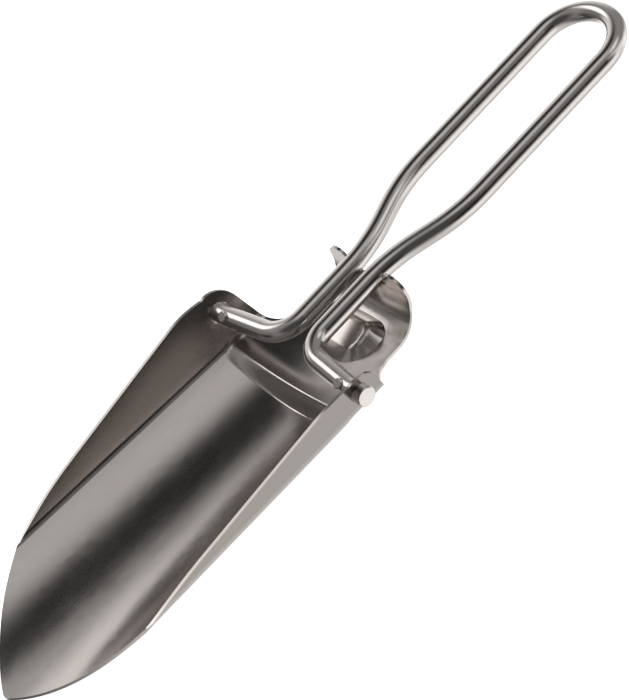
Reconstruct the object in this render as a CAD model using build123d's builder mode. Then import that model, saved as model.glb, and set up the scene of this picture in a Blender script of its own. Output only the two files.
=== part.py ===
from build123d import *

# Folding camp hand shovel in stainless steel: a blade pressed from one sheet, and a handle bent from
# one round wire whose two ends are the pivot pins.
# Millimetres. +Y runs from the blade's tip to the handle, +Z is up, out of the scoop, and +X is along
# the pivot axis. The origin is at the bottom centre of the open shovel's box.

import os
from math import cos, radians, sin

os.makedirs("parts", exist_ok=True)

# ---- place of the pivot axis ---------------------------------------------------------------
tip_y = -126.6          # the blade's tip, measured from the pivot axis
handle_end_y = 142.18   # the open handle's far end
sheet = 1.0             # metal thickness
scoop_floor_z = -18.6   # lowest line of the scoop floor
pivot = (0, -(tip_y + handle_end_y) / 2, sheet - scoop_floor_z)
across_view = Plane(pivot, x_dir=(1, 0, 0), z_dir=(0, -1, 0))
side_view = Plane(pivot, x_dir=(0, 1, 0), z_dir=(1, 0, 0))
plan_view = Plane(pivot)

# ---- scoop, riser and heel: every number from here on is measured from the pivot axis --------
corner_half = 28.9      # half width where the floor meets the side walls
corner_z = -8.5         # height of that corner
floor_widening = 0.031  # the corners spread this much per mm towards the tip
wall_lean = 0.40        # the side walls lean outwards by this much per mm of height
cavity_top = 14.0       # the walls stand this high before they are trimmed
bend_radius = 3.0       # inside radius between floor and wall
heel_floor_z = -13.0    # lowest line of the shallow heel behind the scoop
riser_front = -7.9      # the floor starts to rise to the heel here
riser_back = -3.4       # and reaches it here
riser_bend = 0.24       # share of its length taken by the bend at its foot, and by the one at its top
riser_slope_shift = 0.5 # the underside's riser sits this far back for each mm of metal
blank_front = -132.0    # the sheet is this long before it is trimmed to the outline
beyond = 200.0          # cutting shapes reach past the shovel by this much
heel_end = 12.0         # the heel ends and the tab starts here

# ---- side walls and ears, seen from the side -------------------------------------------------
wall_line_front = (-61.4, -1.5)  # the wall top runs straight from here
wall_line_back = (-17.0, 5.9)    # up to here, then over the ear
ear_top = (-9.5, 6.65)
ear_back_top = (3.9, 5.0)
ear_top_start = (-2.5, 6.15)
ear_back_edge = (6.8, 0.9)
ear_back = (9.2, -8.45)
wall_end = (-89.5, -8.6)         # the wall top meets the scoop floor's edge
wall_line_curve = [(-73, -3.8), (-83, -6.6)]
inside_walls_half = 24.0         # the trimming of the walls stays clear of the tab

# ---- outline, seen from above ----------------------------------------------------------------
tip_radius = 3.0
tip_slope = radians(30) # the edge leaves the rounded tip at this slope
point_edge = [(17.8, -112.8), (26.2, -101.4), (31.8, -90.0)]
shoulder_half = 35.2    # the scoop's edge where the pointed front starts
shoulder_y = -74.0
ear_foot = (28.6, 9.3)
waist_start = (23.1, 12.0)
waist_half = 20.4       # the tab's narrowest stretch behind the ears
waist_y = 17.4
waist_end_curve = (19.6, 25.0)
tab_end = (17.5, 32.2)

# ---- tab with an upturned lip ----------------------------------------------------------------
tab_blank_half = 26.0   # the tab is this wide before it is trimmed to the outline
lip_front = 33.4        # inside face of the lip
lip_bend = 10.0         # inside radius of the curl from tab to lip
lip_half = 17.3
notch_half = 8.6        # the handle legs drop into a notch this wide
notch_z = -1.46         # the legs rest on this edge
notch_corner = 1.4
horn_inside = [(8.6, 1.4), (9.7, 3.5)]
horn_top = (12.4, 4.3)
horn_outside = (15.9, 3.0)
horn_foot = (17.3, -0.5)
horn_foot_edge = (17.8, -4.0)
pad_y = 18.8            # raised pad pressed into the middle of the tab
pad_length = 20.8       # its size at the foot
pad_width = 27.4
pad_foot = 1.0          # the foot lies this far below the tab's surface
pad_corner = 9.2
pad_inset = 5.8         # its flanks lean in by this much up to the top
pad_top_z = -9.2        # height of the middle of its top
pad_slope = 13.0        # degrees the top rises towards the lip
pad_crown = 3.2         # radius around its top

# ---- handle wire -----------------------------------------------------------------------------
wire_radius = 3.175
pin_end = 37.4          # the wire ends stand out past the ears
pin_straight = 29.5     # the wire is straight on the pivot axis out to here
leg_half = 5.0          # the two legs run close together behind the pivot
leg_foot = 3.0
waist_end = 39.5        # the legs start to spread here
grip_start = 62.4       # and run parallel again from here
grip_half = 14.0
grip_end = 139.2        # centre line of the wire at the far end of the loop
pin_bend = 12.0
leg_bend = 9.0
spread_radius = 50.0
handle_rise = 3.06      # degrees the open handle slopes upwards
pin_fit = 0.06          # radial clearance of the wire in the ears
end_chamfer = 0.35
stop_offset = 27.6      # a staked stop on each wire end, just inside the ear
stop_radius = 1.7
stop_height = 0.55
stop_rounding = 0.3
stop_turn = 35.0        # degrees the stops lean from straight up towards the blade


def channel_section(y, floor_z, grow):
    """Cross-section of the space above the sheet, or of the sheet's outside when grown by its thickness."""
    half = corner_half - floor_widening * y
    top_z = cavity_top - grow
    top_half = half + wall_lean * (top_z - corner_z)
    with BuildSketch(across_view.offset(-y)) as section:
        with BuildLine():
            Polyline((half, corner_z), (top_half, top_z), (-top_half, top_z), (-half, corner_z))
            ThreePointArc((-half, corner_z), (0, floor_z), (half, corner_z))
        make_face()
        fillet(section.vertices().group_by(Axis.Y)[0], bend_radius)
        if grow:
            offset(amount=grow)
    return section.sketch


def share_of_rise(share):
    """Height reached along the riser: a straight slope with a rounded bend at each end."""
    bend = riser_bend
    if share < bend:
        return share ** 2 / (2 * bend * (1 - bend))
    if share > 1 - bend:
        return 1 - (1 - share) ** 2 / (2 * bend * (1 - bend))
    return (share - bend / 2) / (1 - bend)


def riser_sections(grow):
    """Sections through the S-shaped rise from the scoop floor to the heel."""
    bend = riser_bend
    rise = heel_floor_z - scoop_floor_z
    length = riser_back - riser_front
    sections = []
    for share in (0, bend / 2, bend, 0.5, 1 - bend, 1 - bend / 2, 1):
        floor_z = scoop_floor_z + rise * share_of_rise(share)
        y = riser_front + riser_slope_shift * grow + length * share
        sections.append(channel_section(y, floor_z, grow))
    return sections


def tab_body(grow):
    """The space above the tab, closed at the back by the upturned lip."""
    front = channel_section(heel_end, heel_floor_z, grow)
    back = channel_section(lip_front + grow, heel_floor_z, grow)
    with BuildPart() as tab:
        loft([front, back], ruled=True)
        with Locations(pivot):
            Box(2 * tab_blank_half, beyond, beyond, mode=Mode.INTERSECT)
        fillet(tab.faces().sort_by(Axis.Y)[-1].edges().sort_by(Axis.Z)[0], lip_bend + grow)
    return tab.part


def channel_body(grow):
    """The whole hollow as one solid: scoop, riser, heel and the space in front of the lip."""
    tip_section = channel_section(blank_front, scoop_floor_z, grow)
    riser = riser_sections(grow)
    heel_section = channel_section(heel_end, heel_floor_z, grow)
    tab = tab_body(grow)
    with BuildPart() as body:
        loft([tip_section, riser[0]], ruled=True)
        loft(riser)
        loft([riser[-1], heel_section], ruled=True)
        add(tab)
    return body.part


def tab_pad(drop):
    """Raised pad in the middle of the tab; dropped by the metal thickness for the underside."""
    foot = Plane(pivot) * Location((0, pad_y, heel_floor_z - pad_foot - drop))
    top = Plane(pivot) * Location((0, pad_y, pad_top_z - drop), (pad_slope, 0, 0))
    with BuildPart() as pad:
        with BuildSketch(foot):
            RectangleRounded(pad_width, pad_length, pad_corner)
        with BuildSketch(top):
            RectangleRounded(pad_width - 2 * pad_inset, pad_length - 2 * pad_inset, pad_corner - pad_inset)
        loft(ruled=True)
        fillet(pad.faces().sort_by(Axis.Z)[-1].edges(), pad_crown)
    return pad.part


def above_the_walls():
    """Everything above the wall tops and behind the ears, left and right of the tab."""
    with BuildPart() as cutter:
        with BuildSketch(side_view):
            with BuildLine():
                Polyline(wall_end, (-beyond, wall_end[1]), (-beyond, beyond), (beyond, beyond),
                         (beyond, ear_back[1]), ear_back, ear_back_edge)
                ThreePointArc(ear_back_edge, ear_back_top, ear_top_start)
                ThreePointArc(ear_top_start, ear_top, wall_line_back)
                Line(wall_line_back, wall_line_front)
                Spline(wall_line_front, *wall_line_curve, wall_end, tangents=[(-6, -1), (-3, -1)])
            make_face()
        extrude(amount=beyond, both=True)
        with Locations(pivot):
            Box(2 * inside_walls_half, 3 * beyond, 3 * beyond, mode=Mode.SUBTRACT)
    return cutter.part


def plan_outline():
    """The blade seen from above: pointed front, widest along the walls, waist and tab at the back."""
    tip_side = (tip_radius * sin(tip_slope), tip_y + tip_radius * (1 - cos(tip_slope)))
    outside = 2 * shoulder_half
    with BuildPart() as prism:
        with BuildSketch(plan_view.offset(-beyond)):
            with BuildLine():
                RadiusArc((0, tip_y), tip_side, -tip_radius)
                Spline(tip_side, *point_edge, (shoulder_half, shoulder_y),
                       tangents=[(cos(tip_slope), sin(tip_slope)), (0, 1)])
                Polyline((shoulder_half, shoulder_y), (outside, shoulder_y), (outside, ear_foot[1]), ear_foot)
                ThreePointArc(ear_foot, waist_start, (waist_half, waist_y))
                ThreePointArc((waist_half, waist_y), waist_end_curve, tab_end)
                Polyline(tab_end, (lip_half, lip_front + lip_bend), (0, lip_front + lip_bend), (0, tip_y))
            make_face()
            mirror(about=Plane.YZ)
        extrude(amount=2 * beyond)
    return prism.part


def above_the_lip():
    """Everything above the lip: two rounded horns with a notch for the handle legs between them."""
    corner_start = (notch_half - notch_corner, notch_z)
    corner_end = (notch_half, notch_z + notch_corner)
    with BuildPart() as cutter:
        with BuildSketch(across_view.offset(lip_bend - lip_front)):
            with BuildLine():
                Line((0, notch_z), corner_start)
                RadiusArc(corner_start, corner_end, -notch_corner)
                Line(corner_end, horn_inside[0])
                ThreePointArc(*horn_inside, horn_top)
                ThreePointArc(horn_top, horn_outside, horn_foot)
                Polyline(horn_foot, horn_foot_edge, (shoulder_half, horn_foot_edge[1]),
                         (shoulder_half, shoulder_half), (0, shoulder_half), (0, notch_z))
            make_face()
            mirror(about=Plane.YZ)
        extrude(amount=-2 * lip_bend)
    return cutter.part


# ---- blade: scoop, walls, ears, riser, heel, tab and lip in one pressed sheet ----------------
inside = channel_body(0)
inside_pad = tab_pad(0)
with BuildPart() as hollow:
    add(inside)
    add(inside_pad, mode=Mode.SUBTRACT)

outside = channel_body(sheet)
outside_pad = tab_pad(sheet)
outline = plan_outline()
wall_trim = above_the_walls()
lip_trim = above_the_lip()
with BuildPart() as blade:
    add(outside)
    add(outside_pad, mode=Mode.SUBTRACT)
    add(hollow.part, mode=Mode.SUBTRACT)
    add(outline, mode=Mode.INTERSECT)
    add(wall_trim, mode=Mode.SUBTRACT)
    add(lip_trim, mode=Mode.SUBTRACT)
    with Locations(side_view):
        Cylinder(wire_radius + pin_fit, beyond, mode=Mode.SUBTRACT)
blade.part.label = "blade"

# ---- handle: one bent wire, with a staked stop near each end ---------------------------------
rise = radians(handle_rise)
grip_plane = Plane(pivot, x_dir=(1, 0, 0), z_dir=(0, -sin(rise), cos(rise)))
loop_start = grip_end - grip_half

with BuildPart() as handle:
    with BuildLine(grip_plane) as centre_line:
        FilletPolyline((pin_end, 0), (pin_straight, 0), (leg_half, leg_foot), (leg_half, waist_end),
                       (grip_half, grip_start), (grip_half, loop_start),
                       radius=(pin_bend, leg_bend, spread_radius, spread_radius))
        RadiusArc((grip_half, loop_start), (0, grip_end), -grip_half)
        mirror(about=Plane.YZ)
    with BuildSketch(side_view.offset(pin_end)):
        Circle(wire_radius)
    sweep(path=centre_line.wire())
    chamfer(handle.faces().filter_by(Plane.YZ).edges(), end_chamfer)
    for side in (-1, 1):
        with Locations(Plane(pivot) * Location((side * stop_offset, 0, 0), (stop_turn, 0, 0))):
            Cylinder(stop_radius, wire_radius + stop_height, align=(Align.CENTER, Align.CENTER, Align.MIN))
    fillet(handle.faces().filter_by(GeomType.PLANE).sort_by(Axis.X)[1:-1].edges(), stop_rounding)
handle.part.label = "handle"

export_step(blade.part, "parts/blade.step")
export_step(handle.part, "parts/handle.step")
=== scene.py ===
from math import cos, pi, radians, sin

import bpy
from mathutils import Matrix, Vector

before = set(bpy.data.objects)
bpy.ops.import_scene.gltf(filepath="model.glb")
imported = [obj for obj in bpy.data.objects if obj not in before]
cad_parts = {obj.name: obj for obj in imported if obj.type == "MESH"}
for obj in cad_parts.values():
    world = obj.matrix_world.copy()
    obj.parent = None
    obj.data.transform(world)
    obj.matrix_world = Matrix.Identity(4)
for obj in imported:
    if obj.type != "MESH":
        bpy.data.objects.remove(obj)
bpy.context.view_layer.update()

# ---- camera: the viewing angle, and how far the view is turned about its own axis ------------
# Lengths are in metres, except the lens and the sensor, which are in millimetres.
AZIMUTH = radians(70.57)
ELEVATION = radians(40.49)
ROLL = radians(-31.65)
AIM = Vector((0.0077, -0.0038, 0.0196))
DISTANCE = 1.2949
LENS = 232.5
SENSOR = 36.0
SHIFT_X = 0.0018
SHIFT_Y = 0.0015
FARTHEST_SEEN = 100.0

# ---- studio: soft lights all round, each (azimuth from +X, elevation, core, edge, strength) ---
# The angles are in degrees. A light is at full strength within its core and fades to nothing at
# its edge; one with a negative strength is a dark flag.
SURROUND = 0.27
DARKEST = 0.02
SOFT_LIGHTS = {
    "key": (-165, 46, 9, 21, 1.45),
    "key_wrap": (-130, 30, 12, 42, 0.12),
    "back_glow": (168, -8, 20, 52, 0.70),
    "top": (45, 75, 4, 20, 0.37),
    "small_fill": (60, 44, 4, 18, 0.70),
    "sweep_start": (35, 18, 4, 16, 0.50),
    "sweep_rise": (52, 2, 4, 18, 0.50),
    "sweep_middle": (74, -18, 4, 20, 0.50),
    "sweep_fall": (96, -36, 6, 24, 0.40),
    "right_glow": (22, -30, 14, 36, 0.45),
    "table": (40, -60, 40, 75, 0.50),
    "table_left": (-165, -40, 15, 45, 0.45),
    "upper_flag": (152, 61, 3, 25, -0.26),
    "right_flag": (14, 4, 13, 30, -0.40),
    "riser_flag": (-125, 12, 20, 48, -0.18),
    "camera_flag": (-28, 34, 18, 48, -0.20),
    "front_flag": (-100, -35, 20, 60, -0.14),
}

# ---- floor: its size in metres, and how it is lit ---------------------------------------------
FLOOR_SIZE = 30.0
FLOOR_ROUGHNESS = 0.9
FLOOR_GLOW = 0.75
FLOOR_LIGHT = 2.6
FLOOR_LIGHT_SPREAD = radians(120)

# ---- colours: red, green, blue and opacity ----------------------------------------------------
WHITE = (1.0, 1.0, 1.0, 1.0)
STUDIO_TINT = (1.0, 0.985, 0.97, 1.0)
FLOOR_PALE = (0.93, 0.93, 0.93, 1.0)
SHEET_DARK = (0.50, 0.46, 0.44, 1.0)
SHEET_LIGHT = (0.73, 0.69, 0.67, 1.0)
# painted shade: a darker steel colour for the side walls that stands in for their dark reflections
WALL_PAINTED_SHADE = (0.44, 0.405, 0.385, 1.0)
WIRE_DARK = (0.63, 0.59, 0.57, 1.0)
WIRE_LIGHT = (0.77, 0.74, 0.72, 1.0)

# ---- patterns in the steel; the small stretch value is along the shovel -----------------------
SHEET_GRAIN = {"stretch": (1.0, 0.04, 1.0), "scale": 2600.0, "detail": 3.0}
SHEET_CLOUDS = {"stretch": (1.0, 0.6, 1.0), "scale": 70.0, "detail": 6.0, "roughness": 0.62}
SHEET_SPECKS = {"stretch": (1.0, 0.7, 1.0), "scale": 900.0, "detail": 2.0}
SHEET_RIPPLE = {"stretch": (1.0, 0.35, 1.0), "scale": 32.0, "detail": 1.0}
WIRE_LINES = {"stretch": (1.0, 0.05, 1.0), "scale": 2200.0, "detail": 2.0}
WIRE_WEAR = {"stretch": (1.0, 0.5, 1.0), "scale": 140.0, "detail": 4.0}
WIRE_WAVES = {"stretch": (1.0, 0.5, 1.0), "scale": 60.0, "detail": 1.0}

# ---- what the patterns add to the roughness: lowest, highest ----------------------------------
SHEET_CLOUD_ROUGHNESS = (0.03, 0.15)
SHEET_GRAIN_ROUGHNESS = (0.08, 0.13)
WIRE_WEAR_ROUGHNESS = (0.06, 0.12)
WIRE_LINE_ROUGHNESS = (0.06, 0.12)

# ---- how far the patterns lift the surface: depth in metres, strength -------------------------
SHEET_RIPPLE_BUMP = (0.0006, 0.06)
SHEET_SPECK_BUMP = (0.00002, 0.05)
SHEET_GRAIN_BUMP = (0.00001, 0.20)
WIRE_WAVE_BUMP = (0.0003, 0.10)
WIRE_LINE_BUMP = (0.00001, 0.30)

# ---- where the side walls' painted shade begins and where it is complete, in metres -----------
WALL_FROM_MIDDLE = (0.022, 0.028)
WALL_HEIGHT = (0.0112, 0.0140)


def new_material(name):
    """An empty node material with a Principled shader on its output."""
    material = bpy.data.materials.new(name)
    material.use_nodes = True
    tree = material.node_tree
    tree.nodes.clear()
    output = tree.nodes.new("ShaderNodeOutputMaterial")
    shader = tree.nodes.new("ShaderNodeBsdfPrincipled")
    tree.links.new(shader.outputs["BSDF"], output.inputs["Surface"])
    return material, tree, shader


def feed(tree, socket, value):
    """Links another node's output to the socket, or sets the socket to a plain value."""
    if isinstance(value, bpy.types.NodeSocket):
        tree.links.new(value, socket)
    else:
        socket.default_value = value


def object_place(tree):
    return tree.nodes.new("ShaderNodeTexCoord").outputs["Object"]


def noise(tree, place, stretch, scale, detail, roughness=0.5):
    """Noise from 0 to 1, drawn out along the axes that have a small stretch value."""
    mapping = tree.nodes.new("ShaderNodeMapping")
    mapping.inputs["Scale"].default_value = stretch
    tree.links.new(place, mapping.inputs["Vector"])
    texture = tree.nodes.new("ShaderNodeTexNoise")
    texture.inputs["Scale"].default_value = scale
    texture.inputs["Detail"].default_value = detail
    texture.inputs["Roughness"].default_value = roughness
    tree.links.new(mapping.outputs["Vector"], texture.inputs["Vector"])
    return texture.outputs["Fac"]


def remap(tree, value, start=0.0, end=1.0, low=0.0, high=1.0, curve="LINEAR"):
    """Low up to the start, then changing to high at the end, and high beyond it."""
    node = tree.nodes.new("ShaderNodeMapRange")
    node.interpolation_type = curve
    node.inputs["From Min"].default_value = start
    node.inputs["From Max"].default_value = end
    node.inputs["To Min"].default_value = low
    node.inputs["To Max"].default_value = high
    tree.links.new(value, node.inputs["Value"])
    return node.outputs["Result"]


def calculate(tree, operation, first, second):
    node = tree.nodes.new("ShaderNodeMath")
    node.operation = operation
    feed(tree, node.inputs[0], first)
    feed(tree, node.inputs[1], second)
    return node.outputs["Value"]


def blend(tree, factor, first, second):
    """The first colour where the factor is 0, the second where it is 1."""
    mix = tree.nodes.new("ShaderNodeMix")
    mix.data_type = "RGBA"
    feed(tree, mix.inputs["A"], first)
    feed(tree, mix.inputs["B"], second)
    tree.links.new(factor, mix.inputs["Factor"])
    return mix.outputs["Result"]


def total_roughness(tree, parts):
    """The sum of two patterns, each mapped onto its own (lowest, highest) roughness."""
    first, second = [remap(tree, pattern, low=low, high=high) for pattern, (low, high) in parts]
    return calculate(tree, "ADD", first, second)


def bumps(tree, layers):
    """Bumps laid one over another; each layer is a pattern and its (depth, strength)."""
    surface = None
    for pattern, (depth, strength) in layers:
        node = tree.nodes.new("ShaderNodeBump")
        node.inputs["Distance"].default_value = depth
        node.inputs["Strength"].default_value = strength
        tree.links.new(pattern, node.inputs["Height"])
        if surface is not None:
            tree.links.new(surface, node.inputs["Normal"])
        surface = node.outputs["Normal"]
    return surface


def make_metal(tree, shader, colour, roughness, surface):
    shader.inputs["Metallic"].default_value = 1.0
    tree.links.new(colour, shader.inputs["Base Color"])
    tree.links.new(roughness, shader.inputs["Roughness"])
    tree.links.new(surface, shader.inputs["Normal"])


def wall_painted_shade_mask(tree, place):
    """Where the painted shade goes: 1 on the blade's side walls, 0 on its floor, tab and lip."""
    either_side = tree.nodes.new("ShaderNodeVectorMath")
    either_side.operation = "ABSOLUTE"
    tree.links.new(place, either_side.inputs[0])
    split = tree.nodes.new("ShaderNodeSeparateXYZ")
    tree.links.new(either_side.outputs["Vector"], split.inputs["Vector"])
    outside = remap(tree, split.outputs["X"], *WALL_FROM_MIDDLE)
    above = remap(tree, split.outputs["Z"], *WALL_HEIGHT)
    return calculate(tree, "MULTIPLY", outside, above)


def blade_steel():
    """Satin rolled sheet: grain along the blade, faint clouding, side walls darkened with painted shade.
    """
    material, tree, shader = new_material("satin_sheet_steel")
    place = object_place(tree)
    grain = noise(tree, place, **SHEET_GRAIN)
    clouds = noise(tree, place, **SHEET_CLOUDS)
    specks = noise(tree, place, **SHEET_SPECKS)
    ripple = noise(tree, place, **SHEET_RIPPLE)
    clouded = blend(tree, clouds, SHEET_DARK, SHEET_LIGHT)
    # painted shade: the side walls are blended towards a darker steel colour
    colour = blend(tree, wall_painted_shade_mask(tree, place), clouded, WALL_PAINTED_SHADE)
    roughness = total_roughness(tree, [(clouds, SHEET_CLOUD_ROUGHNESS), (grain, SHEET_GRAIN_ROUGHNESS)])
    layers = [(ripple, SHEET_RIPPLE_BUMP), (specks, SHEET_SPECK_BUMP), (grain, SHEET_GRAIN_BUMP)]
    make_metal(tree, shader, colour, roughness, bumps(tree, layers))
    return material


def wire_steel():
    """Polished drawn wire: fine die lines along the shovel and a little handling wear."""
    material, tree, shader = new_material("polished_wire_steel")
    place = object_place(tree)
    lines = noise(tree, place, **WIRE_LINES)
    wear = noise(tree, place, **WIRE_WEAR)
    waves = noise(tree, place, **WIRE_WAVES)
    colour = blend(tree, wear, WIRE_DARK, WIRE_LIGHT)
    roughness = total_roughness(tree, [(wear, WIRE_WEAR_ROUGHNESS), (lines, WIRE_LINE_ROUGHNESS)])
    surface = bumps(tree, [(waves, WIRE_WAVE_BUMP), (lines, WIRE_LINE_BUMP)])
    make_metal(tree, shader, colour, roughness, surface)
    return material


def use_material(node, material):
    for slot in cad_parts[node].material_slots:
        slot.material = material


def direction(azimuth, elevation):
    """Unit vector; the azimuth is counted in degrees from +X towards +Y."""
    around = radians(azimuth)
    up = radians(elevation)
    return (cos(around) * cos(up), sin(around) * cos(up), sin(up))


def soft_light(tree, ray, azimuth, elevation, core, edge, strength):
    """The light that comes along a ray from one soft light or dark flag."""
    facing = tree.nodes.new("ShaderNodeVectorMath")
    facing.operation = "DOT_PRODUCT"
    facing.inputs[1].default_value = direction(azimuth, elevation)
    tree.links.new(ray, facing.inputs[0])
    outer = cos(radians(edge))
    inner = cos(radians(core))
    return remap(tree, facing.outputs["Value"], outer, inner, high=strength, curve="SMOOTHSTEP")


def studio_level(tree):
    """The brightness of the surroundings in each direction."""
    ray = tree.nodes.new("ShaderNodeTexCoord").outputs["Generated"]
    level = SURROUND
    for light in SOFT_LIGHTS.values():
        level = calculate(tree, "ADD", level, soft_light(tree, ray, *light))
    return calculate(tree, "MAXIMUM", level, DARKEST)


def background(tree, colour, strength):
    node = tree.nodes.new("ShaderNodeBackground")
    node.inputs["Color"].default_value = colour
    feed(tree, node.inputs["Strength"], strength)
    return node.outputs["Background"]


def build_world():
    """Soft studio surroundings to light the metal; the camera itself sees plain white."""
    world = bpy.data.worlds.new("studio")
    bpy.context.scene.world = world
    world.use_nodes = True
    tree = world.node_tree
    tree.nodes.clear()
    seen = tree.nodes.new("ShaderNodeLightPath").outputs["Is Camera Ray"]
    choose = tree.nodes.new("ShaderNodeMixShader")
    tree.links.new(seen, choose.inputs["Fac"])
    tree.links.new(background(tree, STUDIO_TINT, studio_level(tree)), choose.inputs[1])
    tree.links.new(background(tree, WHITE, 1.0), choose.inputs[2])
    output = tree.nodes.new("ShaderNodeOutputWorld")
    tree.links.new(choose.outputs["Shader"], output.inputs["Surface"])


def add_object(name, data):
    item = bpy.data.objects.new(name, data)
    bpy.context.scene.collection.objects.link(item)
    return item


def floor_material():
    material, tree, shader = new_material("pale_floor")
    shader.inputs["Base Color"].default_value = FLOOR_PALE
    shader.inputs["Roughness"].default_value = FLOOR_ROUGHNESS
    shader.inputs["Specular IOR Level"].default_value = 0.0
    shader.inputs["Emission Color"].default_value = WHITE
    shader.inputs["Emission Strength"].default_value = FLOOR_GLOW
    return material


def build_floor():
    """A plain pale floor under the shovel; the metal doesn't mirror it."""
    half = FLOOR_SIZE / 2
    corners = [(-half, -half, 0), (half, -half, 0), (half, half, 0), (-half, half, 0)]
    mesh = bpy.data.meshes.new("floor")
    mesh.from_pydata(corners, [], [(0, 1, 2, 3)])
    mesh.materials.append(floor_material())
    floor = add_object("floor", mesh)
    floor.visible_glossy = False


def build_floor_light():
    """Wide light from straight above; the metal doesn't mirror it."""
    lamp = bpy.data.lights.new("floor_light", "SUN")
    lamp.energy = FLOOR_LIGHT
    lamp.angle = FLOOR_LIGHT_SPREAD
    add_object("floor_light", lamp).visible_glossy = False


def build_camera():
    """A long lens that looks at the aim point from the viewing angle."""
    back = Vector((sin(AZIMUTH) * cos(ELEVATION), -cos(AZIMUTH) * cos(ELEVATION), sin(ELEVATION)))
    data = bpy.data.cameras.new("camera")
    data.sensor_fit = "VERTICAL"
    data.sensor_height = SENSOR
    data.lens = LENS
    data.shift_x = SHIFT_X
    data.shift_y = SHIFT_Y
    data.clip_end = FARTHEST_SEEN
    turn = Matrix.Rotation(AZIMUTH, 4, "Z") @ Matrix.Rotation(pi / 2 - ELEVATION, 4, "X")
    camera = add_object("camera", data)
    camera.matrix_world = Matrix.Translation(AIM + back * DISTANCE) @ turn @ Matrix.Rotation(ROLL, 4, "Z")
    bpy.context.scene.camera = camera


use_material("blade", blade_steel())
use_material("handle", wire_steel())
build_world()
build_floor()
build_floor_light()
build_camera()
bpy.context.scene.view_settings.view_transform = "Standard"
